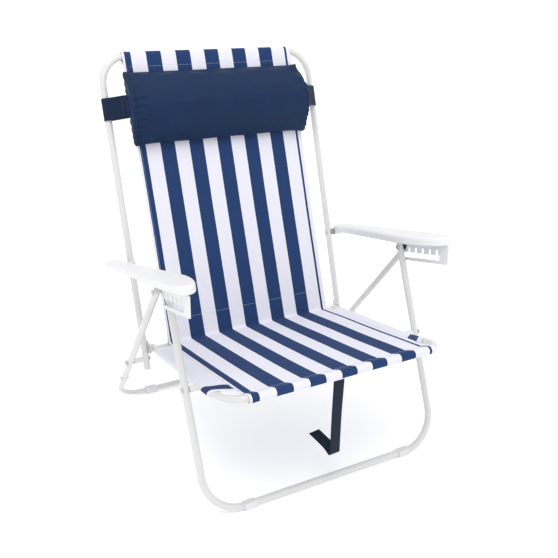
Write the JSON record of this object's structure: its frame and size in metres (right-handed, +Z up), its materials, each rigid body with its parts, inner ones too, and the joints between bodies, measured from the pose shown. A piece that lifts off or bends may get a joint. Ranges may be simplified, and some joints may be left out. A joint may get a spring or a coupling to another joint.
{
  "type": "folding beach chair",
  "caption": "Low folding beach chair with a white tube frame, striped fabric sling, contoured armrests over recline racks, and a strapped headrest pillow.",
  "frame": {"origin": "centre of the chair's bounding box, on the floor under the four foot clips", "axes": "+X to the sitter's left hand, which is right in the picture; the sitter faces -Y; +Z up"},
  "size_m": [0.6934, 0.6905, 0.8948],
  "materials": {
    "frame_paint": "white gloss powder coat",
    "white_plastic": "moulded, satin",
    "arm_plastic": "moulded, lightly textured",
    "dark_plastic": "moulded, matte",
    "rivet_steel": "zinc plated",
    "striped_cloth": "woven, navy and white stripes",
    "white_cloth": "woven, white",
    "navy_cloth": "woven, navy",
    "navy_webbing": "ribbed webbing, navy"
  },
  "bodies": {
    "seat": {"seat_frame_tube": "frame_paint", "seat_rear_crossbar": "frame_paint", "seat_rail_plug_left": "white_plastic", "seat_rail_plug_right": "white_plastic", "seat_hinge_pin_left": "rivet_steel", "seat_hinge_pin_right": "rivet_steel", "seat_leg_pin_left": "rivet_steel", "seat_leg_pin_right": "rivet_steel", "seat_leg_spacer_left": "white_plastic", "seat_leg_spacer_right": "white_plastic", "seat_sling": "striped_cloth", "seat_sleeve_left": "white_cloth", "seat_sleeve_right": "white_cloth"},
    "back": {"back_frame_tube": "frame_paint", "back_tube_plug_left": "white_plastic", "back_tube_plug_right": "white_plastic", "back_hinge_lug_left": "frame_paint", "back_hinge_lug_right": "frame_paint", "rear_leg_pin_left": "rivet_steel", "rear_leg_pin_right": "rivet_steel", "rear_leg_spacer_left": "white_plastic", "rear_leg_spacer_right": "white_plastic", "arm_pivot_pin_left": "rivet_steel", "arm_pivot_pin_right": "rivet_steel", "arm_pivot_washer_left": "dark_plastic", "arm_pivot_washer_right": "dark_plastic", "back_sling": "striped_cloth"},
    "pillow": {"headrest_pillow": "navy_cloth", "pillow_strap_left": "navy_webbing", "pillow_strap_right": "navy_webbing"},
    "front_legs": {"front_leg_tube": "frame_paint", "front_leg_plug_left": "white_plastic", "front_leg_plug_right": "white_plastic", "leg_top_pin_left": "rivet_steel", "leg_top_pin_right": "rivet_steel", "front_foot_clip_left": "white_plastic", "front_foot_clip_right": "white_plastic"},
    "rear_legs": {"rear_leg_left": "frame_paint", "rear_leg_right": "frame_paint", "rear_base_tube": "frame_paint", "base_rivet_left": "rivet_steel", "base_rivet_right": "rivet_steel", "rear_leg_plug_left": "white_plastic", "rear_leg_plug_right": "white_plastic", "rack_pin_left": "rivet_steel", "rack_pin_right": "rivet_steel", "rear_foot_clip_left": "white_plastic", "rear_foot_clip_right": "white_plastic"},
    "left_arm": {"armrest_left": "arm_plastic", "arm_lug_left": "dark_plastic", "recline_rack_left": "arm_plastic"},
    "right_arm": {"armrest_right": "arm_plastic", "arm_lug_right": "dark_plastic", "recline_rack_right": "arm_plastic"},
    "front_strap": {"closing_strap": "navy_webbing"}
  },
  "joints": [
    {"name": "back_hinge", "type": "hinge", "parent": "seat", "child": "back", "pos_m": [0, 0.112, 0.216], "axis": [1, 0, 0], "range_deg": [0, 75]},
    {"name": "front_leg_hinge", "type": "hinge", "parent": "seat", "child": "front_legs", "pos_m": [0, -0.186, 0.262], "axis": [1, 0, 0], "range_deg": [0, 75]},
    {"name": "left_arm_hinge", "type": "hinge", "parent": "back", "child": "left_arm", "pos_m": [0, 0.192, 0.411], "axis": [1, 0, 0], "range_deg": [-75, 0]},
    {"name": "right_arm_hinge", "type": "hinge", "parent": "back", "child": "right_arm", "pos_m": [0, 0.192, 0.411], "axis": [1, 0, 0], "range_deg": [-75, 0]},
    {"name": "rear_leg_hinge", "type": "hinge", "parent": "back", "child": "rear_legs", "pos_m": [0, 0.124, 0.187], "axis": [1, 0, 0], "range_deg": [-46.5, 0]},
    {"name": "pillow_slide", "type": "slide", "parent": "back", "child": "pillow", "axis": [0, 0.2905, 0.9569], "range_m": [-0.1, 0.015]},
    {"name": "strap_hinge", "type": "hinge", "parent": "seat", "child": "front_strap", "pos_m": [0, -0.336, 0.3], "axis": [1, 0, 0], "range_deg": [-45, 45]}
  ],
  "couplings": [
    {"joint": "front_leg_hinge", "follows": "back_hinge", "ratio": 1},
    {"joint": "left_arm_hinge", "follows": "back_hinge", "ratio": -1},
    {"joint": "right_arm_hinge", "follows": "back_hinge", "ratio": -1},
    {"joint": "rear_leg_hinge", "follows": "back_hinge", "ratio": -0.62}
  ]
}
